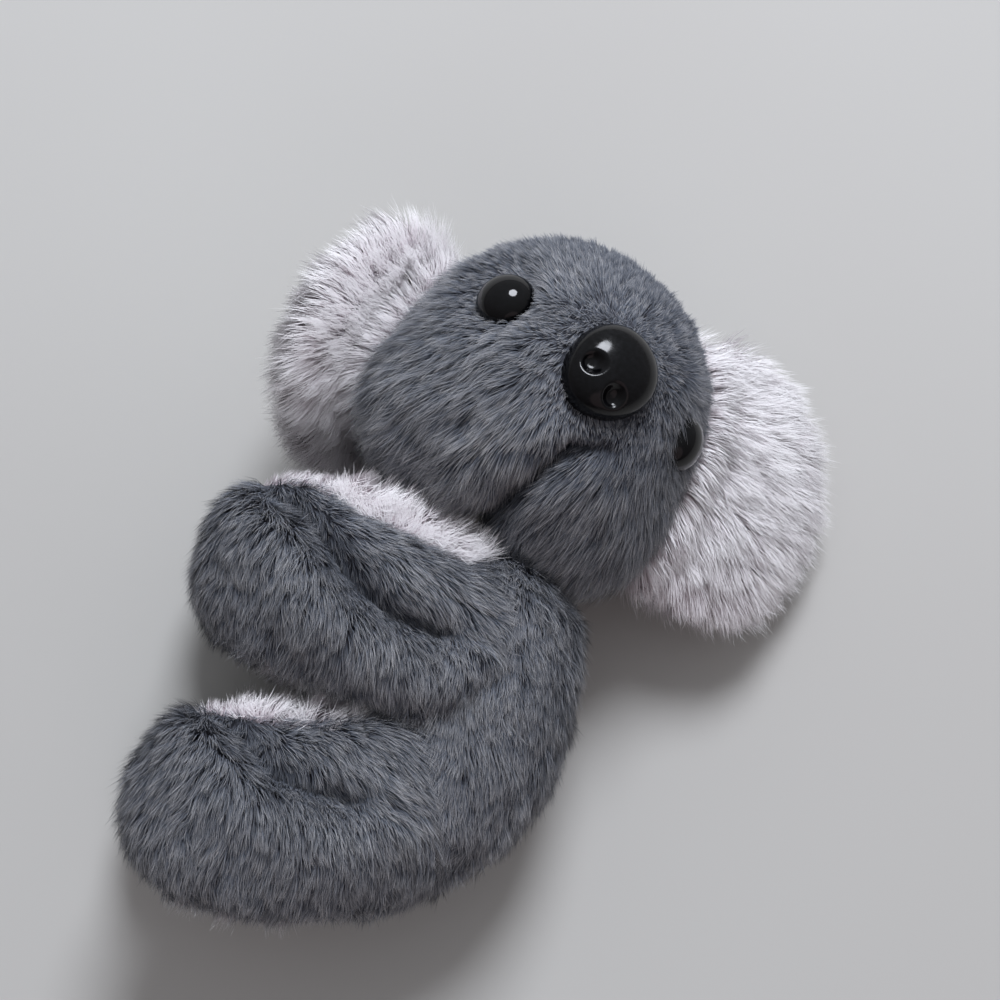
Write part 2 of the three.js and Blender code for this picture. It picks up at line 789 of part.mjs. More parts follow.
place('head_cover', head.head_cover, grey_plush());
place('head_filling', headFilling(), filling());
place('ear_left', head.ear_left, white_plush());
place('ear_right', head.ear_right, white_plush());
for (const side of ['left', 'right']) {
  const seat = stud_seats[`eye_${side}`];
  place(`eye_${side}`, moved(eye(), seat.place), black_plastic());
  place(`eye_washer_${side}`, moved(washer(seat.rim, 0), seat.place), white_plastic());
}
place('nose', moved(nose(), stud_seats.nose.place), black_plastic());
place('nose_washer', moved(washer(stud_seats.nose.rim, 0), stud_seats.nose.place), white_plastic());
place('neck_washer', neckWasher(), white_plastic());
place('neck_post', neckPost(), white_plastic());
place('hinge_pin', tube(pin_radius, pin_bottom, pin_length), steel());
place('torsion_spring', spring(), steel());
place('belly_panel', spine.belly, white_plush());
place('back_panel', spine.back, grey_plush());
for (const [side, pieces] of [['left', left], ['right', right]]) {
  place(`flank_${side}`, pieces.flank, grey_plush());
  place(`clip_half_${side}`, pieces.clip_half, white_plastic());
  place(`arm_${side}`, pieces.arm, grey_plush());
  place(`arm_lining_${side}`, pieces.arm_lining, white_plush());
  place(`leg_${side}`, pieces.leg, grey_plush());
  place(`leg_lining_${side}`, pieces.leg_lining, white_plush());
}

// The part's origin is under the middle of its box, on the floor.
const all = toy.children.map((child) => child.geometry);
const bounds = new THREE.Box3();
for (const geometry of all) {
  bounds.union(new THREE.Box3().setFromBufferAttribute(
    geometry.clone().applyMatrix4(laid).attributes.position,
  ));
}
const centre = bounds.getCenter(new THREE.Vector3());
toy.applyMatrix4(laid);
toy.position.set(-centre.x, -centre.y, -floor_height);
part.add(toy);

export default part;
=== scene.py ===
import json
import math

import bpy
import numpy as np
from mathutils import Matrix, Vector
from mathutils.bvhtree import BVHTree


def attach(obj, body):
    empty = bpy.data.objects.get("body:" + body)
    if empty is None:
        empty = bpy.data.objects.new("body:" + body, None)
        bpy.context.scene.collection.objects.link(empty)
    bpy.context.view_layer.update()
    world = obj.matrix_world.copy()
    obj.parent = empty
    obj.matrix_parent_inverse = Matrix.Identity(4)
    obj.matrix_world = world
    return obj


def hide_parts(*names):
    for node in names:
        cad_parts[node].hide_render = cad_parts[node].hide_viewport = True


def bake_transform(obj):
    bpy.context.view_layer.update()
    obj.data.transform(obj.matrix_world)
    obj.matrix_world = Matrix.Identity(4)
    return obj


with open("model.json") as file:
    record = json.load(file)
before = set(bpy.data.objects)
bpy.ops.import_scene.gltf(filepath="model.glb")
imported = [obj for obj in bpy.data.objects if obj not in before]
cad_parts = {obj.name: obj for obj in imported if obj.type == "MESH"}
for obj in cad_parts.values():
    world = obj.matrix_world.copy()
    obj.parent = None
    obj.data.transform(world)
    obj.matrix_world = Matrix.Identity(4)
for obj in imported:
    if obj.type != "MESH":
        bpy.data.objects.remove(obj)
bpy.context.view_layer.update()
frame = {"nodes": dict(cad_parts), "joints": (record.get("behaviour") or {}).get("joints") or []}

MM = 0.001
ROLL = 8
JOINT_HEIGHT, HEAD_HEIGHT = 80, 80.5
HEAD_TURN, HEAD_NOD, HEAD_TILT = 102, 13, 12
HEAD_HALF = (20.4, 19.2, 21)
SQUARENESS = 2.1
# Azimuth, elevation, width and height of the swellings of the muzzle and the cheeks.
SWELLINGS = ((0, -12, 32, 1.3), (86, -44, 27, 5), (-86, -44, 27, 5))
EYE_RADIUS, EYE_HEIGHT, EYE_AZIMUTH, EYE_ELEVATION, EYE_SINK = 4, 3.1, 49, -1, 0.6
NOSE_HALF_WIDTH, NOSE_HALF_HEIGHT, NOSE_DEPTH = 6.1, 6.6, 4.6
NOSE_ELEVATION, NOSE_SINK, NOSE_TURN = -9, 0.8, -22
SHANK_RADIUS, SHANK_LENGTH = 1.2, 6
BEAD_LIP = 0.25  # thickness of the rim at the base of a bead
NOSTRIL_SPACING, NOSTRIL_DROP, NOSTRIL_DEPTH, NOSTRIL_WIDTH = 2.4, 2.4, 1.2, 1.3
NOSTRIL_LIP, NOSTRIL_LIP_RADIUS, NOSTRIL_LIP_WIDTH = 0.05, 1.65, 0.32
FLOOR_CLEARANCE = 0.0001
PRESSED_PILE = 0.7  # height that the cloth keeps where the toy lies on its pile
PRESSED_HAIRS = 0.6  # height to which the pressed hairs reach, as a share of that


# Frame of the toy

def unit(vectors):
    return vectors / np.maximum(np.linalg.norm(vectors, axis=-1, keepdims=True), 1e-9)


turn_joint = next(j for j in frame["joints"] if j["name"] == "head_turn")
spine = Vector(turn_joint["axis"]).normalized()
incline = math.atan2(spine.z, spine.y)
roll = math.radians(ROLL)
leftward = Vector((math.sin(roll), -math.cos(roll) * math.sin(incline),
                   math.cos(roll) * math.cos(incline)))
backward = spine.cross(leftward)
foot = Vector(turn_joint["pos_m"]) - spine * JOINT_HEIGHT * MM
rows = [(*[MM * axis[k] for axis in (leftward, backward, spine)], foot[k]) for k in range(3)]
toy_to_part = Matrix((*rows, (0, 0, 0, 1)))
part_to_toy = toy_to_part.inverted()
head_place = (Matrix.Translation((0, 0, HEAD_HEIGHT))
              @ Matrix.Rotation(math.radians(HEAD_TURN), 4, "Z")
              @ Matrix.Rotation(math.radians(-HEAD_NOD), 4, "X")
              @ Matrix.Rotation(math.radians(HEAD_TILT), 4, "Y"))


def moved(points, matrix):
    m = np.array(matrix)
    return points @ m[:3, :3].T + m[:3, 3]


def turned(vectors, matrix):
    return vectors @ np.array(matrix)[:3, :3].T


# Materials

def linear(hex_colour):
    parts = [int(hex_colour[i:i + 2], 16) / 255 for i in (1, 3, 5)]
    return [p / 12.92 if p <= 0.04045 else ((p + 0.055) / 1.055) ** 2.4 for p in parts] + [1]


def add_node(tree, kind, settings=None, links=None):
    node = tree.nodes.new(kind)
    for name, value in (settings or {}).items():
        if isinstance(name, int) or name in node.inputs:
            node.inputs[name].default_value = value
        else:
            setattr(node, name, value)
    for name, source in (links or {}).items():
        tree.links.new(source, node.inputs[name])
    return node


def new_material(name):
    material = bpy.data.materials.new(name)
    material.use_nodes = True
    tree = material.node_tree
    tree.nodes.clear()
    out = add_node(tree, "ShaderNodeOutputMaterial")
    return material, tree, out


def ramp(tree, factor, stops):
    node = add_node(tree, "ShaderNodeValToRGB", links={"Fac": factor})
    elements = node.color_ramp.elements
    while len(elements) < len(stops):
        elements.new(0.5)
    for element, (place, colour) in zip(elements, stops):
        element.position = place
        element.color = linear(colour)
    return node


def cover(tree, out, settings, links):
    shader = add_node(tree, "ShaderNodeBsdfPrincipled", settings, links)
    tree.links.new(shader.outputs["BSDF"], out.inputs["Surface"])


def pile_fibre(name, roots, bodies, roughness, sheen):
    # Acrylic pile: colour follows each hair from its dark root to its pale tip,
    # and hairs of several dye lots lie side by side.
    material, tree, out = new_material(name)
    place = add_node(tree, "ShaderNodeUVMap", {"uv_map": "OFBake"})
    apart = add_node(tree, "ShaderNodeSeparateXYZ", links={"Vector": place.outputs["UV"]})
    dark = ramp(tree, apart.outputs["Y"], roots)
    pale = ramp(tree, apart.outputs["Y"], bodies)
    mixed = add_node(tree, "ShaderNodeMix", {"data_type": "RGBA"})
    tree.links.new(apart.outputs["X"], mixed.inputs[0])
    tree.links.new(dark.outputs["Color"], mixed.inputs[6])
    tree.links.new(pale.outputs["Color"], mixed.inputs[7])
    cover(tree, out, {"Roughness": roughness, "Sheen Weight": sheen, "Sheen Roughness": 0.4,
                      "Specular IOR Level": 0.3}, {"Base Color": mixed.outputs[2]})
    return material


def knitted_backing(name, deep, raised):
    # Tricot backing of the pile cloth: loops 0.4 mm apart, seen only between the hairs.
    material, tree, out = new_material(name)
    place = add_node(tree, "ShaderNodeTexCoord")
    loops = add_node(tree, "ShaderNodeTexVoronoi", {"Scale": 1 / (0.4 * MM)},
                     {"Vector": place.outputs["Object"]})
    blotches = add_node(tree, "ShaderNodeTexNoise", {"Scale": 1 / (4 * MM), "Detail": 3},
                        {"Vector": place.outputs["Object"]})
    both = add_node(tree, "ShaderNodeMath", {"operation": "MULTIPLY"},
                    {0: loops.outputs["Distance"], 1: blotches.outputs["Fac"]})
    colour = ramp(tree, both.outputs[0], [(0.05, deep), (0.45, raised)])
    bump = add_node(tree, "ShaderNodeBump", {"Strength": 0.5, "Distance": 0.1 * MM},
                    {"Height": loops.outputs["Distance"]})
    cover(tree, out, {"Roughness": 0.9, "Sheen Weight": 0.2},
          {"Base Color": colour.outputs["Color"], "Normal": bump.outputs["Normal"]})
    return material


def gloss_bead(name, body, haze, roughness, grain):
    # Injection-moulded and polished plastic: near black, mirror bright, with faint
    # rub marks about grain millimetres long.
    material, tree, out = new_material(name)
    place = add_node(tree, "ShaderNodeTexCoord")
    rubbed = add_node(tree, "ShaderNodeTexNoise", {"Scale": 1 / (grain * MM), "Detail": 5},
                      {"Vector": place.outputs["Object"]})
    colour = ramp(tree, rubbed.outputs["Fac"], [(0.35, body), (0.75, haze)])
    gloss = add_node(tree, "ShaderNodeMapRange",
                     {"From Min": 0.3, "From Max": 0.8, "To Min": roughness,
                      "To Max": 2.2 * roughness},
                     {"Value": rubbed.outputs["Fac"]})
    cover(tree, out, {"IOR": 1.46, "Specular IOR Level": 0.35},
          {"Base Color": colour.outputs["Color"], "Roughness": gloss.outputs[0]})
    return material


def moulded_nylon(name):
    # Uncoloured nylon as it leaves the mould: milky, with flow marks and a satin skin.
    material, tree, out = new_material(name)
    place = add_node(tree, "ShaderNodeTexCoord")
    flow = add_node(tree, "ShaderNodeTexNoise",
                    {"Scale": 1 / (3 * MM), "Detail": 4, "Distortion": 1.5},
                    {"Vector": place.outputs["Object"]})
    colour = ramp(tree, flow.outputs["Fac"], [(0.3, "#d9d5c8"), (0.7, "#ebe8de")])
    bump = add_node(tree, "ShaderNodeBump", {"Strength": 0.2, "Distance": 0.05 * MM},
                    {"Height": flow.outputs["Fac"]})
    cover(tree, out, {"Roughness": 0.42, "IOR": 1.53},
          {"Base Color": colour.outputs["Color"], "Normal": bump.outputs["Normal"]})
    return material


def drawn_steel(name):
    # Bright spring wire: fine marks from drawing, and a thin film of oil.
    material, tree, out = new_material(name)
    place = add_node(tree, "ShaderNodeTexCoord")
    marks = add_node(tree, "ShaderNodeTexNoise", {"Scale": 1 / (0.3 * MM), "Detail": 4},
                     {"Vector": place.outputs["Object"]})
    colour = ramp(tree, marks.outputs["Fac"], [(0.3, "#9a9fa5"), (0.7, "#c3c7cb")])
    gloss = add_node(tree, "ShaderNodeMapRange", {"To Min": 0.22, "To Max": 0.4},
                     {"Value": marks.outputs["Fac"]})
    cover(tree, out, {"Metallic": 1.0},
          {"Base Color": colour.outputs["Color"], "Roughness": gloss.outputs[0]})
    return material


def loose_fibre(name):
    # Siliconised polyester filling: white crimped fibre in soft lumps of about 3 mm.
    material, tree, out = new_material(name)
    place = add_node(tree, "ShaderNodeTexCoord")
    lumps = add_node(tree, "ShaderNodeTexNoise", {"Scale": 1 / (3 * MM), "Detail": 6},
                     {"Vector": place.outputs["Object"]})
    colour = ramp(tree, lumps.outputs["Fac"], [(0.3, "#d8d5cf"), (0.7, "#f2f0eb")])
    bump = add_node(tree, "ShaderNodeBump", {"Strength": 0.8, "Distance": 0.5 * MM},
                    {"Height": lumps.outputs["Fac"]})
    cover(tree, out, {"Roughness": 0.85, "Sheen Weight": 0.4},
          {"Base Color": colour.outputs["Color"], "Normal": bump.outputs["Normal"]})
    return material


# The low-tone ends of these ramps also give the painted shade laid on through each pile's shade.
grey_hair = pile_fibre(
    "grey acrylic pile",
    [(0.0, "#292027"), (0.5, "#444851"), (1.0, "#6a6f79")],
    [(0.0, "#37333c"), (0.5, "#6a717d"), (1.0, "#d8d5d3")], 0.6, 0.1)
white_hair = pile_fibre(
    "white acrylic pile",
    [(0.0, "#bfa6af"), (0.5, "#e6dce1"), (1.0, "#fbf8fa")],
    [(0.0, "#d9c9cf"), (0.5, "#f4f0f2"), (1.0, "#ffffff")], 0.55, 0.1)
grey_backing = knitted_backing("grey tricot backing", "#2b2c33", "#41444d")
white_backing = knitted_backing("white tricot backing", "#b3a9b2", "#dcd7dd")
eye_plastic = gloss_bead("black polished acrylic", "#040405", "#0b0b0d", 0.05, 0.8)
nose_plastic = gloss_bead("black moulded ABS", "#020203", "#0b0b0e", 0.11, 0.6)
nylon = moulded_nylon("uncoloured nylon")
steel = drawn_steel("drawn spring steel")
filling = loose_fibre("polyester filling")


# Making pieces

def only(piece):
    bpy.ops.object.select_all(action="DESELECT")
    piece.select_set(True)
    bpy.context.view_layer.objects.active = piece


def put_on(piece, material):
    piece.data.materials.clear()
    piece.data.materials.append(material)


def apply_modifier(piece, name, kind, **settings):
    modifier = piece.modifiers.new(name, kind)
    for key, value in settings.items():
        setattr(modifier, key, value)
    only(piece)
    bpy.ops.object.modifier_apply(modifier=modifier.name)


def coordinates(piece):
    found = np.empty(len(piece.data.vertices) * 3, np.float32)
    piece.data.vertices.foreach_get("co", found)
    return found.reshape(-1, 3).astype(float)


def vertex_normals(piece):
    found = np.empty(len(piece.data.vertices) * 3, np.float32)
    piece.data.vertex_normals.foreach_get("vector", found)
    return found.reshape(-1, 3).astype(float)


def set_coordinates(piece, points):
    piece.data.vertices.foreach_set("co", points.astype(np.float32).ravel())
    piece.data.update()


VOXEL, WELD = 0.75, 0.002
SOFTENING = 6


def skin_from(node, name, material):
    """An even, softened copy of a CAD solid, as the cloth of a stuffed piece."""
    piece = bpy.data.objects.new(name, frame["nodes"][node].data.copy())
    bpy.context.scene.collection.objects.link(piece)
    only(piece)
    bpy.ops.object.mode_set(mode="EDIT")
    bpy.ops.mesh.select_all(action="SELECT")
    bpy.ops.mesh.remove_doubles(threshold=WELD * MM)
    bpy.ops.object.mode_set(mode="OBJECT")
    apply_modifier(piece, "even mesh", "REMESH", mode="VOXEL", voxel_size=VOXEL * MM)
    apply_modifier(piece, "soft edges", "SMOOTH", factor=0.5, iterations=SOFTENING)
    put_on(piece, material)
    only(piece)
    bpy.ops.object.shade_smooth()
    return piece


def half_of(piece, name, side):
    """The half of a piece on one side of the toy's middle plane, with its cut closed."""
    half = bpy.data.objects.new(name, piece.data.copy())
    bpy.context.scene.collection.objects.link(half)
    only(half)
    bpy.ops.object.mode_set(mode="EDIT")
    bpy.ops.mesh.select_all(action="SELECT")
    bpy.ops.mesh.bisect(plane_co=foot, plane_no=leftward * side, use_fill=True,
                        clear_inner=True)
    bpy.ops.object.mode_set(mode="OBJECT")
    return half


# Pile

TABLE_SIZE = 4096


def scattered(cell):
    """A place in a random table for each cell of space."""
    mixed = (cell[:, 0] * 73856093) ^ (cell[:, 1] * 19349663) ^ (cell[:, 2] * 83492791)
    return mixed % TABLE_SIZE


def drift(points, size, seed):
    """Smooth random vectors that change over about size millimetres."""
    table = np.random.default_rng(seed).uniform(-1, 1, (TABLE_SIZE, 3))
    cell = points / size
    base = np.floor(cell).astype(np.int64)
    part = cell - base
    part = part * part * (3 - 2 * part)
    total = np.zeros_like(points)
    for corner in range(8):
        step = np.array([(corner >> k) & 1 for k in range(3)])
        weight = np.where(step, part, 1 - part).prod(1)
        total += weight[:, None] * table[scattered(base + step)]
    return total


def locks(points, size, seed):
    """The middle of the lock of hair each root belongs to, and a random vector of that lock."""
    table = np.random.default_rng(seed).uniform(-1, 1, (TABLE_SIZE, 6))
    cell = np.floor(points / size).astype(np.int64)
    best = np.full(len(points), np.inf)
    middle, dice = np.zeros_like(points), np.zeros_like(points)
    for corner in range(27):
        key = cell + np.array([corner % 3 - 1, corner // 3 % 3 - 1, corner // 9 - 1])
        found = table[scattered(key)]
        spot = (key + 0.5 + 0.45 * found[:, :3]) * size
        far = ((spot - points) ** 2).sum(1)
        near = far < best
        best = np.where(near, far, best)
        middle[near], dice[near] = spot[near], found[near, 3:]
    return middle, dice


RAY_START = 0.08  # distance off the skin at which the search for a cover starts


def exposed_faces(piece, others, reach, inward=None):
    """1 for each triangle of a skin that nothing covers, and 0 for the rest."""
    mesh = piece.data
    mesh.calc_loop_triangles()
    corners = np.empty(len(mesh.loop_triangles) * 3, np.int32)
    mesh.loop_triangles.foreach_get("vertices", corners)
    corners = corners.reshape(-1, 3)
    points = coordinates(piece)
    a, b, c = (points[corners[:, k]] for k in range(3))
    middles = (a + b + c) / 3
    normals = unit(np.cross(b - a, c - a))
    shown = np.ones(len(corners))
    for i, (middle, normal) in enumerate(zip(middles, normals)):
        start = Vector(middle + normal * RAY_START * MM)
        if any(tree.ray_cast(start, Vector(normal), reach * MM)[0] for tree in others):
            shown[i] = 0
    if inward is not None:
        shown[inward(moved(middles, part_to_toy), unit(turned(normals, part_to_toy)))] = 0
    return corners, shown


# How hairs of one kind differ: with their small lock, with their large lock, each by itself.
LAY_SPREAD = (0.18, 0.22)
LENGTH_SPREAD = (0.14, 0.1, 0.1)
LEAN_SPREAD = (0.16, 0.12)
TONE_SPREAD = (0.15, 0.08)
WIDTH_SPREAD = (0.75, 1.25)
LARGE_LOCK = 3.2  # width of a large lock, in small ones
LARGE_GATHER = 0.35  # pull to the middle of a large lock, as a share of that to a small one
WANDER, WANDER_WIDTH = 0.32, 7  # how far the nap wanders, and over how many millimetres
SHORTEST_HAIR, ROOT_DEPTH = 0.5, 0.15
LEAN_LIMITS = (0.15, 1.35)
LEAN_AT_ROOT, LEAN_GROWTH, FLATTEST = 0.45, 1.1, 1.5
TAPER, TWIST = 0.55, 0.5
TONE_LIMITS, TONE_ACROSS = (0.03, 0.97), 0.02


def add_pile(name, skin, faces, spec, material, seed):
    """Hairs on the exposed faces of a skin, each a narrow blade that bends with the nap."""
    rng = np.random.default_rng(seed)
    corners, shown = faces
    points, normals = coordinates(skin), vertex_normals(skin)
    a, b, c = (points[corners[:, k]] for k in range(3))
    area = np.linalg.norm(np.cross(b - a, c - a), axis=1) / 2 / MM ** 2 * shown
    where = moved((a + b + c) / 3, part_to_toy)
    if "region" in spec:
        area = area * spec["region"](where)
    count = int(area.sum() * spec["density"])
    pick = rng.choice(len(area), count, p=area / area.sum())
    share = np.sort(rng.uniform(size=(count, 2)), axis=1)
    share = np.stack([share[:, 0], share[:, 1] - share[:, 0], 1 - share[:, 1]], 1)[:, :, None]
    root = (points[corners[pick]] * share).sum(1)
    out = unit((normals[corners[pick]] * share).sum(1))
    root = moved(root, part_to_toy)
    out = unit(turned(out, part_to_toy))

    small, small_dice = locks(root, spec["lock"], seed + 1)
    large, large_dice = locks(root, spec["lock"] * LARGE_LOCK, seed + 2)
    lay = spec["nap"](root, out)
    lay = lay + WANDER * drift(root, WANDER_WIDTH, seed + 3)
    lay = lay + LAY_SPREAD[1] * large_dice + LAY_SPREAD[0] * small_dice
    lay = lay + spec["stray"] * rng.normal(size=(count, 3))
    lay = unit(lay - out * (lay * out).sum(1, keepdims=True))

    length = spec["length"] * np.ones(count)
    if "trim" in spec:
        length = length * spec["trim"](root)
    length *= (1 + LENGTH_SPREAD[0] * small_dice[:, 0] + LENGTH_SPREAD[1] * large_dice[:, 0]
               + rng.normal(0, LENGTH_SPREAD[2], count))
    length = np.maximum(length, SHORTEST_HAIR)
    steep = math.radians(spec["lean"]) * (
        1 + LEAN_SPREAD[0] * small_dice[:, 1] + rng.normal(0, LEAN_SPREAD[1], count))
    steep = np.clip(steep, *LEAN_LIMITS)

    steps = spec["steps"]
    rings = [root - ROOT_DEPTH * out]
    for i in range(steps):
        tilt = (steep * (LEAN_AT_ROOT + LEAN_GROWTH * (i + 0.5) / steps))[:, None]
        tilt = np.minimum(tilt, FLATTEST)
        ahead = out * np.cos(tilt) + lay * np.sin(tilt)
        rings.append(rings[-1] + ahead * (length / steps)[:, None])
    gather = spec["gather"]
    to_small = small - root
    to_small -= out * (to_small * out).sum(1, keepdims=True)
    to_large = large - root
    to_large -= out * (to_large * out).sum(1, keepdims=True)
    for i in range(1, steps + 1):
        pull = (i / steps) ** 1.5
        rings[i] = rings[i] + pull * (gather * to_small + gather * LARGE_GATHER * to_large)

    aside = unit(np.cross(out, lay))
    twist = rng.uniform(-TWIST, TWIST, count)[:, None]
    aside = aside * np.cos(twist) + out * np.sin(twist)
    tone = spec["tone"] + TONE_SPREAD[0] * small_dice[:, 2] + TONE_SPREAD[1] * large_dice[:, 2]
    tone = tone + rng.normal(0, spec["speckle"], count)
    # The shade adds painted shade (creases, mouth seam, crown, root of the left ear) and the
    # paler cheek bank to the tone.
    if "shade" in spec:
        tone = tone + spec["shade"](root)
    tone = np.clip(tone, *TONE_LIMITS)
    width = spec["width"] * rng.uniform(*WIDTH_SPREAD, count)[:, None]

    made = np.empty((count, 2 * steps + 1, 3))
    facings = np.empty_like(made)
    for i in range(steps):
        half = width * (1 - TAPER * i / steps) / 2
        made[:, 2 * i] = rings[i] + aside * half
        made[:, 2 * i + 1] = rings[i] - aside * half
        blade = unit(np.cross(rings[i + 1] - rings[i], aside))
        facings[:, 2 * i] = facings[:, 2 * i + 1] = unit(blade + spec["softness"] * out)
    made[:, 2 * steps] = rings[steps]
    facings[:, 2 * steps] = facings[:, 2 * steps - 1]
    facings = unit(turned(facings.reshape(-1, 3), toy_to_part))
    made = moved(made.reshape(-1, 3), toy_to_part)
    lowest = (FLOOR_CLEARANCE
              + PRESSED_HAIRS * PRESSED_PILE * MM * rng.uniform(size=len(made)) ** 2)
    made[:, 2] = np.maximum(made[:, 2], lowest)

    pattern = []
    for i in range(steps - 1):
        pattern += [(2 * i, 2 * i + 1, 2 * i + 3), (2 * i, 2 * i + 3, 2 * i + 2)]
    pattern.append((2 * steps - 2, 2 * steps - 1, 2 * steps))
    pattern = np.array(pattern)
    first = np.arange(count) * (2 * steps + 1)
    triangles = (pattern[None] + first[:, None, None]).reshape(-1, 3)

    across = np.array([1, -1] * steps + [0]) * TONE_ACROSS
    along = np.array([i // 2 for i in range(2 * steps)] + [steps]) / steps
    along = 0.01 + 0.98 * along
    chart = np.stack(np.broadcast_arrays(tone[:, None] + across[None], along[None]), 2)
    chart = chart.reshape(-1, 2)[triangles.ravel()]

    mesh = bpy.data.meshes.new(name)
    mesh.vertices.add(len(made))
    mesh.vertices.foreach_set("co", made.astype(np.float32).ravel())
    mesh.loops.add(triangles.size)
    mesh.loops.foreach_set("vertex_index", triangles.astype(np.int32).ravel())
    mesh.polygons.add(len(triangles))
    mesh.polygons.foreach_set("loop_start", np.arange(0, triangles.size, 3, dtype=np.int32))
    mesh.update(calc_edges=True)
    mesh.shade_smooth()
    layer = mesh.uv_layers.new(name="OFBake")
    layer.data.foreach_set("uv", chart.astype(np.float32).ravel())
    mesh.normals_split_custom_set_from_vertices(facings)
    piece = bpy.data.objects.new(name, mesh)
    bpy.context.scene.collection.objects.link(piece)
    put_on(piece, material)
    print("PILE", name, count, "hairs", len(triangles), "triangles", round(area.sum()), "mm2")
    return piece


# How the pile lies

head_matrix = np.array(head_place)
head_left, head_forward, head_up = head_matrix[:3, 0], -head_matrix[:3, 1], head_matrix[:3, 2]
head_centre = head_matrix[:3, 3]


def facing(azimuth, elevation):
    a, e = math.radians(azimuth), math.radians(elevation)
    return Vector((math.sin(a) * math.cos(e), -math.cos(a) * math.cos(e), math.sin(e)))


def skin_radius(direction):
    total = sum(abs(d / h) ** SQUARENESS for d, h in zip(direction, HEAD_HALF))
    radius = total ** (-1 / SQUARENESS)
    for azimuth, elevation, width, amount in SWELLINGS:
        off = direction.angle(facing(azimuth, elevation)) / math.radians(width)
        radius += amount * math.exp(-off * off)
    return radius


def seat_on(azimuth, elevation, sink, turn=0):
    """Place of a stud on the head: z out of the skin, x to the left."""
    out = facing(azimuth, elevation)
    side = Vector((0, 0, 1)).cross(out).normalized()
    place = Matrix((side, out.cross(side), out)).transposed().to_4x4()
    place.translation = out * (skin_radius(out) - sink)
    return head_place @ place @ Matrix.Rotation(math.radians(turn), 4, "Z")


seats = {
    "eye_left": seat_on(EYE_AZIMUTH, EYE_ELEVATION, EYE_SINK),
    "eye_right": seat_on(-EYE_AZIMUTH, EYE_ELEVATION, EYE_SINK),
    "nose": seat_on(0, NOSE_ELEVATION, NOSE_SINK, NOSE_TURN),
}
nose_point = np.array(seats["nose"].translation)
eye_points = [np.array(seats[name].translation) for name in ("eye_left", "eye_right")]


def smoothstep(low, high, value):
    share = np.clip((value - low) / (high - low), 0, 1)
    return share * share * (3 - 2 * share)


def in_head(points):
    """Left, forward and up of points, from the head's centre."""
    from_centre = points - head_centre
    return from_centre @ head_left, from_centre @ head_forward, from_centre @ head_up


# The mouth seam runs down from under the nose to the neck, and over to the right.
SEAM_LEFT, SEAM_LEFT_HIGH, SEAM_RIGHT_LOW = 2.3, 2.2, 2.6
SEAM_DEPTH, SEAM_WIDTH = 4.4, 2.3
CHEEK_PUFF, CHEEK_PUFF_WIDTH, CHEEK_PUFF_OFF = 1.2, 3, 5.5
# Heights over the head's centre, from and to which each part of the face comes in.
SEAM_HIGH_BEND, SEAM_LOW_BEND = (-12.5, -7.5), (-19, -11)
SEAM_TOP, SEAM_FULL = (-9.5, -7.5), (-16, -10)
FACE, CROWN, CHEEK, EAR_ROOT = (-3, 11), (2, 14), (-14, -4), (-16, 0)
SEAM_FRONT = (-8, -1)  # the same, forward of the centre
# Distances from the middles of an eye and of the nose over which the pile grows to its length.
EYE_RING, NOSE_RING, NOSE_SEAM_RING = (4.2, 8), (6.4, 13), (7.5, 10)
NEAR_EYE, NEAR_FAR_EYE, NEAR_NOSE = 0.45, 0.85, 0.35
CROWN_CUT, SEAM_CUT, CHEEK_GROWTH = 0.35, 0.6, 0.42
# Paleness of the cheek over the seam, and depth of the painted shade in the seam and on the
# crown.
BANK_TINT, SEAM_PAINTED_SHADE, CROWN_PAINTED_SHADE = 0.3, 0.55, 0.42


def off_seam(points):
    """How far left of the mouth seam a point lies, and how much of the seam there is."""
    left, forward, up = in_head(points)
    middle = (SEAM_LEFT + SEAM_LEFT_HIGH * smoothstep(*SEAM_HIGH_BEND, up)
              - SEAM_RIGHT_LOW * (1 - smoothstep(*SEAM_LOW_BEND, up)))
    start = 0.55 * (1 - smoothstep(*SEAM_TOP, up)) + 0.45 * (1 - smoothstep(*SEAM_FULL, up))
    return left - middle, start * smoothstep(*SEAM_FRONT, forward)


def head_nap(points, out):
    _, forward, up = in_head(points)
    from_nose = unit(points - nose_point)
    below = 1 - smoothstep(*FACE, up)
    off, _ = off_seam(points)
    pull = np.where(off < 0, 0.75 * np.exp(off / 5), -0.2 * np.exp(-off / 4))
    pull *= below * (forward > 0)
    return ((0.7 - 0.4 * below)[:, None] * from_nose
            - (0.8 - 0.35 * below)[:, None] * head_forward
            - (0.9 * below - 0.1)[:, None] * head_up + pull[:, None] * head_left)


def head_trim(points):
    """Short by the eyes, the nose and the seam and on the crown, longest on the cheeks."""
    near = np.min([np.linalg.norm(points - spot, axis=1) for spot in eye_points], axis=0)
    nose_far = np.linalg.norm(points - nose_point, axis=1)
    left, _, up = in_head(points)
    crown = smoothstep(*CROWN, up)
    off, seam = off_seam(points)
    inside = np.exp(-((off - 0.6) / 1.8) ** 2) * seam
    cheek = 1 - smoothstep(*CHEEK, up)
    shortest = np.where(left > 0, NEAR_FAR_EYE, NEAR_EYE)
    by_eye = shortest + (1 - shortest) * smoothstep(*EYE_RING, near)
    by_nose = NEAR_NOSE + (1 - NEAR_NOSE) * smoothstep(*NOSE_RING, nose_far)
    return (by_eye * by_nose * (1 - CROWN_CUT * crown) * (1 - SEAM_CUT * inside)
            * (1 + CHEEK_GROWTH * cheek))


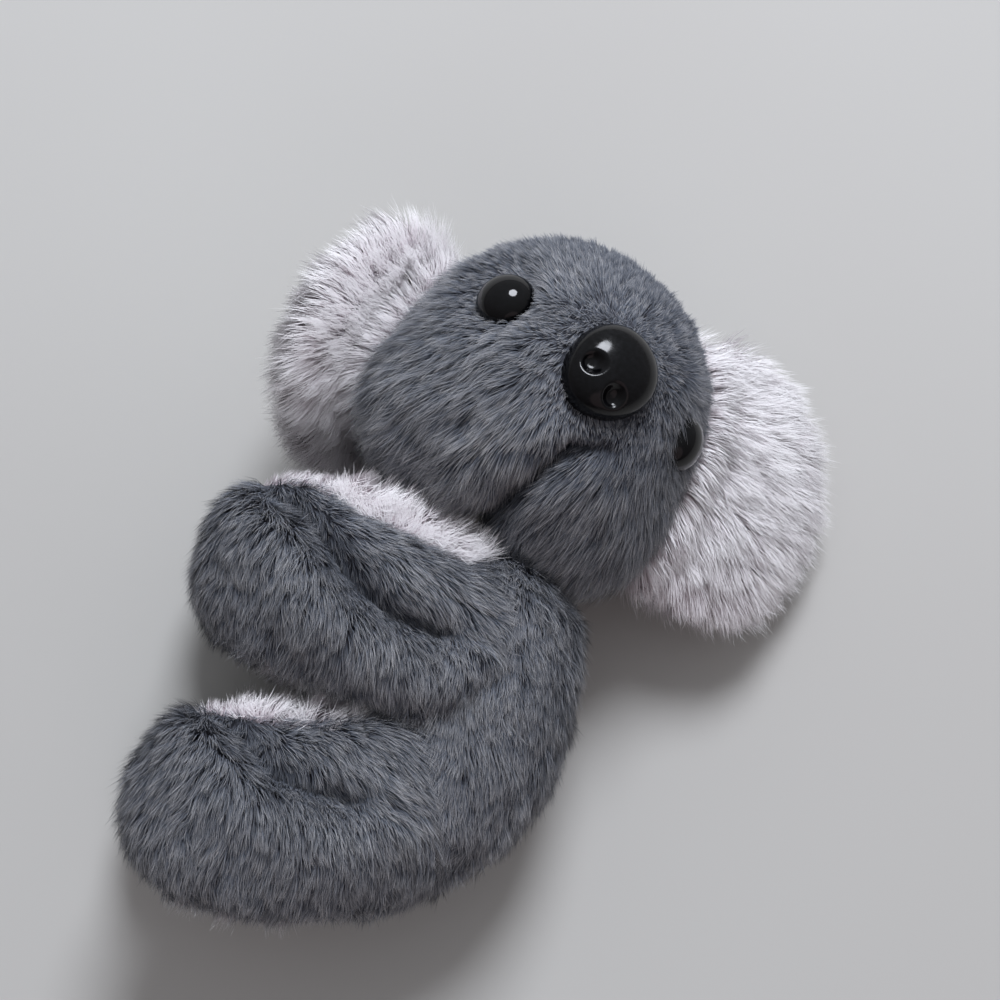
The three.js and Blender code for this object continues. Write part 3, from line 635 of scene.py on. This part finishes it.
def head_painted_shade_and_bank(points):
    """Painted shade in the mouth seam and on the crown, paler on the cheek that hangs over the
    seam.
    """
    off, seam = off_seam(points)
    inside = np.exp(-((off - 0.4) / 1.9) ** 2) * seam
    bank = np.exp(-((off + CHEEK_PUFF_OFF) / 3.5) ** 2) * seam
    crown = smoothstep(*CROWN, in_head(points)[2])
    return BANK_TINT * bank - SEAM_PAINTED_SHADE * inside - CROWN_PAINTED_SHADE * crown


EAR_DROOP = 0.5
TORSO_NAP = np.array([0.0, 0.27, -0.95])


def ear_nap(points, out):
    return unit(points - head_centre) - EAR_DROOP * head_up


def torso_nap(points, out):
    return TORSO_NAP + np.zeros_like(points)


def side_view(points):
    """Forward and up of points."""
    return -points[:, 1], points[:, 2]


def off_line(points, line):
    """Signed distance above a line in the side view, and the distance to it."""
    f, u = side_view(points)
    best = np.full(len(points), np.inf)
    above = np.zeros(len(points))
    for (f0, u0), (f1, u1) in zip(line[:-1], line[1:]):
        span = np.array([f1 - f0, u1 - u0])
        share = np.clip(((f - f0) * span[0] + (u - u0) * span[1]) / (span @ span), 0, 1)
        df, du = f - (f0 + share * span[0]), u - (u0 + share * span[1])
        far = np.hypot(df, du)
        cross = span[0] * du - span[1] * df
        near = far < best
        best = np.where(near, far, best)
        above = np.where(near, -np.sign(cross) * far, above)
    return above, best


# Creases of the limbs, forward and up in the side view.
ARM_CREASE = [(27.8, 51.6), (23.5, 50.1), (18.2, 46.7), (14.5, 44.7), (9.2, 43.2), (3, 43.6)]
LEG_CREASE = [(24.1, 24.9), (20.4, 22.1), (15.3, 19.8), (11, 19.8), (5, 20)]


def limb_nap(crease, whorl, fade):
    """Down from the whorl below a crease and along it above, one into the other at its end."""
    def nap(points, out):
        above, _ = off_line(points, crease)
        f, u = side_view(points)
        fan = np.stack([np.zeros_like(f), -(f - whorl[0]), u - whorl[1]], 1)
        down = 0.45 * unit(fan) + np.array([0.0, 0.1, -0.8])
        back = np.array([0.0, 1.0, -0.5])
        spread = 0.7 + 6 * (1 - smoothstep(fade - 6, fade + 3, f))
        up = smoothstep(-spread, spread, above - 1.6)[:, None]
        return down * (1 - up) + back * up
    return nap


arm_nap = limb_nap(ARM_CREASE, whorl=ARM_CREASE[0], fade=10)
leg_nap = limb_nap(LEG_CREASE, whorl=LEG_CREASE[0], fade=12)

CREASE_CUT, CREASE_REACH = 0.55, (0.3, 3)


def by_crease(crease):
    """Short along a crease and just above it, full length away from it."""
    def share(points):
        above, off = off_line(points, crease)
        off = np.where(above > 0, 0.65 * off, off)
        return CREASE_CUT + (1 - CREASE_CUT) * smoothstep(*CREASE_REACH, off)
    return share


def arm_trim(points):
    """As by the crease, and short on the top edge, so that the white lining shows over it."""
    f, u = side_view(points)
    edge = smoothstep(51, 54, u) * smoothstep(0, 5, f) * (1 - smoothstep(18, 24, f))
    return by_crease(ARM_CREASE)(points) * (1 - 0.5 * edge)


def crease_painted_shade(crease):
    """Painted shade down in a crease, darkest along its middle."""
    def shade(points):
        _, far = off_line(points, crease)
        middle = np.exp(-((side_view(points)[0] - crease[2][0]) / 6) ** 2)
        return -(0.12 + 0.42 * middle) * np.exp(-(far / 2.2) ** 2)
    return shade


LINING_CUT, LINING_END = 0.45, (18.5, 23.5)


def lining_trim(points):
    """Short at the outer end of a limb, where the grey pile folds over the white."""
    f, _ = side_view(points)
    return LINING_CUT + (1 - LINING_CUT) * (1 - smoothstep(*LINING_END, f))


def lining_nap(points, out):
    away = points - np.array([0.0, -10.0, 0.0])
    away[:, 2] *= 0
    rising = smoothstep(-0.1, 0.6, out[:, 2])[:, None]
    over = np.stack([0.5 * np.sign(points[:, 0]), np.full(len(points), 0.25),
                     np.full(len(points), 0.6)], 1)
    return unit(away) * 0.5 * (1 - rising) + np.array([0.0, 0.0, 0.25]) + rising * over


GREY = dict(density=28, length=3.7, width=0.11, lock=1.0, lean=60, gather=0.4, stray=0.14,
            steps=2, softness=1.2, tone=0.5, speckle=0.26)
WHITE = dict(density=27, length=4.0, width=0.115, lock=1.5, lean=46, gather=0.4, stray=0.14,
             steps=2, softness=2.5, tone=0.8, speckle=0.12)
EAR = dict(density=23, length=5.8, width=0.125, lock=2.0, lean=48, gather=0.36, stray=0.16,
           steps=3, softness=5.0, tone=0.9, speckle=0.12)


# Camera, light and floor

# The directions of the picture are given along the toy's own.
CAMERA_DISTANCE, FOCAL_PIXELS, PICTURE_PIXELS, SENSOR = 255, 1860, 1000, 36
view_right = 0.158 * leftward + 0.91 * backward + 0.40 * spine
view_up = 0.115 * leftward - 0.40 * backward + 0.90 * spine
view_right.normalize()
view_up = (view_up - view_right * view_up.dot(view_right)).normalized()
view_back = view_right.cross(view_up)
head_middle = toy_to_part @ Vector((0, 0, JOINT_HEIGHT))
scale_there = FOCAL_PIXELS / CAMERA_DISTANCE
HEAD_PIXEL = (549, 402)
camera = bpy.data.objects.new("camera", bpy.data.cameras.new("camera"))
bpy.context.scene.collection.objects.link(camera)
camera.data.sensor_width = SENSOR
camera.data.lens = SENSOR * FOCAL_PIXELS / PICTURE_PIXELS
camera.data.clip_start, camera.data.clip_end = 0.01, 20
across = (HEAD_PIXEL[0] - PICTURE_PIXELS / 2) / scale_there * MM
upward = (PICTURE_PIXELS / 2 - HEAD_PIXEL[1]) / scale_there * MM
camera.matrix_world = Matrix.Translation(
    head_middle + view_back * CAMERA_DISTANCE * MM - view_right * across - view_up * upward
) @ Matrix((view_right, view_up, view_back)).transposed().to_4x4()
bpy.context.scene.camera = camera

scene = bpy.context.scene
scene.view_settings.view_transform = "Standard"
world = bpy.data.worlds.new("studio")
scene.world = world
world.use_nodes = True
sky = world.node_tree.nodes["Background"]
sky.inputs["Strength"].default_value = 0.5
sight = add_node(world.node_tree, "ShaderNodeTexCoord")
WINDOW_SIDE = (-0.15, 0.72, 0.68)  # the side from which the room is brightest
toward = add_node(world.node_tree, "ShaderNodeVectorMath", {1: WINDOW_SIDE},
                  {0: sight.outputs["Generated"]})
toward.operation = "DOT_PRODUCT"
share = add_node(world.node_tree, "ShaderNodeMapRange", {"From Min": -1.0, "From Max": 1.0},
                 {"Value": toward.outputs["Value"]})
room = ramp(world.node_tree, share.outputs[0],
            [(0.0, "#4c3f43"), (0.5, "#b3b0b4"), (1.0, "#eef2f8")])
world.node_tree.links.new(room.outputs["Color"], sky.inputs["Color"])


def soft_lamp(name, place, aim, size, power, colour):
    lamp = bpy.data.objects.new(name, bpy.data.lights.new(name, "AREA"))
    lamp.data.shape = "DISK"
    lamp.data.size = size
    lamp.data.energy = power
    lamp.data.color = linear(colour)[:3]
    lamp.location = place
    lamp.rotation_euler = (Vector(aim) - Vector(place)).to_track_quat("-Z", "Y").to_euler()
    scene.collection.objects.link(lamp)


middle = (0.0, 0.0, 0.02)
soft_lamp("window lamp", (-0.12, 0.50, 0.62), middle, size=0.32, power=6.2, colour="#f2f6ff")
soft_lamp("fill lamp", (0.35, -0.45, 0.35), middle, size=0.6, power=0.3, colour="#ffe2e6")

bpy.ops.object.select_all(action="DESELECT")
bpy.ops.mesh.primitive_plane_add(size=4, location=(0, 0, 0))
ground = bpy.context.active_object
ground.name = "floor"
floor_paint, tree, out = new_material("pale matt floor")
place = add_node(tree, "ShaderNodeTexCoord")
tint = add_node(tree, "ShaderNodeTexNoise", {"Scale": 6, "Detail": 2},
                {"Vector": place.outputs["Object"]})
tint = ramp(tree, tint.outputs["Fac"], [(0.3, "#bdbbb7"), (0.7, "#c3c2be")])
cover(tree, out, {"Roughness": 0.8}, {"Base Color": tint.outputs["Color"]})
put_on(ground, floor_paint)


# Eyes and nose

def hemisphere(name, segments, rings):
    bpy.ops.object.select_all(action="DESELECT")
    bpy.ops.mesh.primitive_uv_sphere_add(segments=segments, ring_count=rings, radius=1)
    piece = bpy.context.active_object
    piece.name = piece.data.name = name
    bpy.ops.object.mode_set(mode="EDIT")
    bpy.ops.mesh.select_all(action="SELECT")
    bpy.ops.mesh.bisect(plane_co=(0, 0, 0), plane_no=(0, 0, 1), use_fill=True, clear_inner=True)
    bpy.ops.object.mode_set(mode="OBJECT")
    return piece


def add_shank(piece, rim, lip):
    """Draws the base down into a thin rim, and a shank from the middle of it."""
    only(piece)
    mesh = piece.data
    for polygon in mesh.polygons:
        polygon.select = abs(polygon.normal.z + 1) < 1e-3 and polygon.center.z < 1e-4
    bpy.ops.object.mode_set(mode="EDIT")
    bpy.ops.mesh.select_mode(type="FACE")
    bpy.ops.mesh.extrude_region_move(TRANSFORM_OT_translate={"value": (0, 0, -lip)})
    bpy.ops.mesh.inset(thickness=rim - SHANK_RADIUS, depth=0)
    bpy.ops.mesh.extrude_region_move(
        TRANSFORM_OT_translate={"value": (0, 0, -(SHANK_LENGTH - lip))})
    bpy.ops.object.mode_set(mode="OBJECT")


def eye_bead(name):
    piece = hemisphere(name, 56, 28)
    points = coordinates(piece)
    set_coordinates(piece, points * (EYE_RADIUS, EYE_RADIUS, EYE_HEIGHT))
    add_shank(piece, EYE_RADIUS, BEAD_LIP)
    finish_bead(piece, name, eye_plastic)
    return piece


def nose_bead(name):
    piece = hemisphere(name, 96, 56)
    points = coordinates(piece)
    broad = 1 + 0.1 * unit(points[:, :2])[:, 1]
    high = np.clip(points[:, 2], 0, 1) ** 0.8
    shaped = np.stack([points[:, 0] * NOSE_HALF_WIDTH * broad, points[:, 1] * NOSE_HALF_HEIGHT,
                       high * NOSE_DEPTH], 1)
    for side in (-1, 1):
        far = np.hypot(shaped[:, 0] - side * NOSTRIL_SPACING, shaped[:, 1] + NOSTRIL_DROP)
        dip = NOSTRIL_DEPTH * np.exp(-(far / NOSTRIL_WIDTH) ** 4)
        lip = NOSTRIL_LIP * np.exp(-((far - NOSTRIL_LIP_RADIUS) / NOSTRIL_LIP_WIDTH) ** 2)
        shaped[:, 2] += (lip - dip) * (points[:, 2] > 0.2)
    set_coordinates(piece, shaped)
    add_shank(piece, NOSE_HALF_WIDTH, BEAD_LIP)
    finish_bead(piece, name, nose_plastic)
    return piece


def finish_bead(piece, node, material):
    piece.data.transform(toy_to_part @ seats[node])
    put_on(piece, material)
    only(piece)
    bpy.ops.object.shade_smooth_by_angle(angle=math.radians(40))
    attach(piece, "head")
    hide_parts(node)


for node in ("eye_left", "eye_right"):
    eye_bead(node).name = node + "_bead"
nose_bead("nose").name = "nose_bead"


# Cloth skins

SIDES = (("left", 1), ("right", -1))
skins = {}


def keep_skin(name, node, material):
    skin = skin_from(node, name, material)
    skins[name] = skin
    return skin


keep_skin("head_cloth", "head_cover", grey_backing)
for side, _ in SIDES:
    keep_skin(f"ear_cloth_{side}", f"ear_{side}", white_backing)
    keep_skin(f"flank_cloth_{side}", f"flank_{side}", grey_backing)
    keep_skin(f"arm_cloth_{side}", f"arm_{side}", grey_backing)
    keep_skin(f"leg_cloth_{side}", f"leg_{side}", grey_backing)
    keep_skin(f"arm_lining_cloth_{side}", f"arm_lining_{side}", white_backing)
    keep_skin(f"leg_lining_cloth_{side}", f"leg_lining_{side}", white_backing)
for panel, material, slot in (("belly", white_backing, "white_plush"),
                              ("back", grey_backing, "grey_plush")):
    whole = skin_from(f"{panel}_panel", f"{panel}_whole", material)
    for side, sign in SIDES:
        half = half_of(whole, f"{panel}_cloth_{side}", sign)
        put_on(half, material)
        skins[half.name] = half
    bpy.data.objects.remove(whole)


def press_line(skin, line, sign, depth, width):
    """Draws a sewn-in crease into the outer face of a limb."""
    points = moved(coordinates(skin), part_to_toy)
    out = unit(turned(vertex_normals(skin), part_to_toy))
    above, far = off_line(points, line)
    outer = smoothstep(0.1, 0.6, out[:, 0] * sign)
    puff = 0.35 * depth * np.exp(-((above + 2.2 * width) / (1.5 * width)) ** 2)
    points += out * ((puff - depth * np.exp(-(far / width) ** 2)) * outer)[:, None]
    set_coordinates(skin, moved(points, toy_to_part))


for side, sign in SIDES:
    press_line(skins[f"arm_cloth_{side}"], ARM_CREASE, sign, depth=3.4, width=2.5)
    press_line(skins[f"leg_cloth_{side}"], LEG_CREASE, sign, depth=2.8, width=2.4)


EDGE_DROP = 2.4  # how far the top edge of an arm rolls down


def lower_edge(skin, sign):
    """Rolls the top edge of an arm down a little, so that the white lining shows behind it."""
    points = moved(coordinates(skin), part_to_toy)
    f, u = side_view(points)
    drop = EDGE_DROP * smoothstep(49, 57, u) * smoothstep(-3, 4, f) * (1 - smoothstep(18, 25, f))
    points[:, 2] -= drop * smoothstep(6, 11, points[:, 0] * sign)
    set_coordinates(skin, moved(points, toy_to_part))


for side, sign in SIDES:
    lower_edge(skins[f"arm_cloth_{side}"], sign)


def press_chin(skin):
    """Draws in the seam that runs from under the nose to the neck."""
    points = moved(coordinates(skin), part_to_toy)
    off, share = off_seam(points)
    share = share * smoothstep(*NOSE_SEAM_RING, np.linalg.norm(points - nose_point, axis=1))
    depth = SEAM_DEPTH * np.exp(-(off / SEAM_WIDTH) ** 2) * share
    puff = CHEEK_PUFF * np.exp(-((off + CHEEK_PUFF_OFF) / CHEEK_PUFF_WIDTH) ** 2) * share
    radial = unit(points - head_centre)
    points += radial * (puff - depth)[:, None]
    set_coordinates(skin, moved(points, toy_to_part))


press_chin(skins["head_cloth"])


def draw_in(skin, depth):
    """Brings the cloth of an ear in to the roots of its pile, save where it joins the head."""
    points = moved(coordinates(skin), part_to_toy)
    out = unit(turned(vertex_normals(skin), part_to_toy))
    from_centre = points - head_centre
    ways = unit(np.stack(in_head(points), 1) * (1, -1, 1))
    skin_there = np.array([skin_radius(Vector(way)) for way in ways])
    off = np.linalg.norm(from_centre, axis=1) - skin_there
    points -= out * (depth * smoothstep(0.6, 4, off))[:, None]
    set_coordinates(skin, moved(points, toy_to_part))


for side, _ in SIDES:
    draw_in(skins[f"ear_cloth_{side}"], depth=2.4)
    apply_modifier(skins[f"ear_cloth_{side}"], "eased", "SMOOTH", factor=0.5, iterations=4)

bodies = {"head": ("head_cloth", "ear_cloth_left", "ear_cloth_right")}
for side, _ in SIDES:
    bodies[f"{side}_side"] = tuple(f"{name}_cloth_{side}" for name in
                                   ("flank", "arm", "leg", "arm_lining", "leg_lining"))

fill = skin_from("head_filling", "head_filling_fibre", filling)
press_chin(fill)
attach(fill, "head")
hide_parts("head_filling")


# Hairs on every exposed face

for skin in skins.values():
    points = coordinates(skin)
    points[:, 2] = np.maximum(points[:, 2], PRESSED_PILE * MM)
    set_coordinates(skin, points)

trees = []
for piece in [*skins.values(), bpy.data.objects["eye_left_bead"],
              bpy.data.objects["eye_right_bead"], bpy.data.objects["nose_bead"]]:
    mesh = piece.data
    mesh.calc_loop_triangles()
    points = [tuple(p) for p in coordinates(piece)]
    trees.append(BVHTree.FromPolygons(points, [tuple(t.vertices) for t in mesh.loop_triangles]))


def into_head(points, out):
    """Faces of the head that look at its centre."""
    return ((points - head_centre) * out).sum(1) < 0


TORSO_CENTRE = np.array([0.0, 5.5, 0.0])
RUMP_TOP = 22  # height below which the torso rounds off


def into_torso(points, out):
    """Faces of a torso piece that look at its middle rather than outward."""
    away = points - TORSO_CENTRE
    away[:, 2] = 0.6 * np.clip(points[:, 2] - RUMP_TOP, -30, 0)
    return (unit(away) * out).sum(1) < 0.25


inward_test = {"head_cloth": into_head}
for side, _ in SIDES:
    for name in ("flank", "belly", "back"):
        inward_test[f"{name}_cloth_{side}"] = into_torso
exposed = {name: exposed_faces(skin, trees, reach=1.1, inward=inward_test.get(name))
           for name, skin in skins.items()}

pile = {}


def quarter(side, front):
    """The part of the head on one side of its middle, before or behind its centre."""
    def share(points):
        left, forward, up = in_head(points)
        return ((left * side >= 0) & ((forward + 0.2 * up >= 0) == front)).astype(float)
    return share


def ear_root_painted_shade(points):
    """Painted shade, in mauve, toward the root of the left ear, where the cheek lies against it
    and shades it.
    """
    left, _, up = in_head(points)
    return -(0.06 + 0.6 * (1 - smoothstep(*EAR_ROOT, up))) * (left > 0)


def hair(name, skin, spec, material, seed, **more):
    pile[name] = add_pile(name, skins[skin], exposed[skin], {**spec, **more}, material, seed)
    return pile[name]


for number, (side, sign) in enumerate(SIDES):
    for front, end in ((True, "front"), (False, "back")):
        hair(f"head_{end}_pile_{side}", "head_cloth", GREY, grey_hair, 11 + 10 * number + front,
             nap=head_nap, trim=head_trim, shade=head_painted_shade_and_bank, region=quarter(sign, front))
for number, (side, _) in enumerate(SIDES):
    seed = 100 * (number + 1)
    hair(f"ear_pile_{side}", f"ear_cloth_{side}", EAR, white_hair, seed + 1, nap=ear_nap,
         shade=ear_root_painted_shade)
    hair(f"flank_pile_{side}", f"flank_cloth_{side}", GREY, grey_hair, seed + 11, nap=torso_nap)
    hair(f"arm_pile_{side}", f"arm_cloth_{side}", GREY, grey_hair, seed + 21, nap=arm_nap,
         trim=arm_trim, shade=crease_painted_shade(ARM_CREASE))
    hair(f"leg_pile_{side}", f"leg_cloth_{side}", GREY, grey_hair, seed + 31, nap=leg_nap,
         trim=by_crease(LEG_CREASE), shade=crease_painted_shade(LEG_CREASE))
    hair(f"arm_lining_pile_{side}", f"arm_lining_cloth_{side}", WHITE, white_hair, seed + 41,
         nap=lining_nap, trim=lining_trim)
    hair(f"leg_lining_pile_{side}", f"leg_lining_cloth_{side}", WHITE, white_hair, seed + 51,
         nap=lining_nap, trim=lining_trim)
    hair(f"belly_pile_{side}", f"belly_cloth_{side}", WHITE, white_hair, seed + 61, nap=torso_nap)
    hair(f"back_pile_{side}", f"back_cloth_{side}", GREY, grey_hair, seed + 71, nap=torso_nap)

PANEL_MIDDLE, PANEL_HEIGHT = 0.3, 30
for body, names in bodies.items():
    for name in names:
        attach(skins[name], body)
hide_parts("head_cover")
for side, sign in SIDES:
    for name in ("ear", "flank", "arm", "leg", "arm_lining", "leg_lining"):
        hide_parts(f"{name}_{side}")
    for name in ("flank", "arm", "leg", "arm_lining", "leg_lining"):
        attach(pile[f"{name}_pile_{side}"], f"{side}_side")
    for name in ("head_front", "head_back", "ear"):
        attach(pile[f"{name}_pile_{side}"], "head")
    # The halves of the belly and the back keep their places baked into their meshes.
    for panel, edge in (("belly", 5.0), ("back", 7.5)):
        end = toy_to_part @ Vector((edge * sign, 0, PANEL_HEIGHT))
        for piece in (skins[f"{panel}_cloth_{side}"], pile[f"{panel}_pile_{side}"]):
            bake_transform(piece)
        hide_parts(f"{panel}_panel")


# Hard pieces kept from the model

for node, material in (
        ("eye_washer_left", nylon), ("eye_washer_right", nylon), ("nose_washer", nylon),
        ("neck_washer", nylon), ("neck_post", nylon), ("clip_half_left", nylon),
        ("clip_half_right", nylon), ("hinge_pin", steel), ("torsion_spring", steel)):
    for place in frame["nodes"][node].material_slots:
        place.material = material
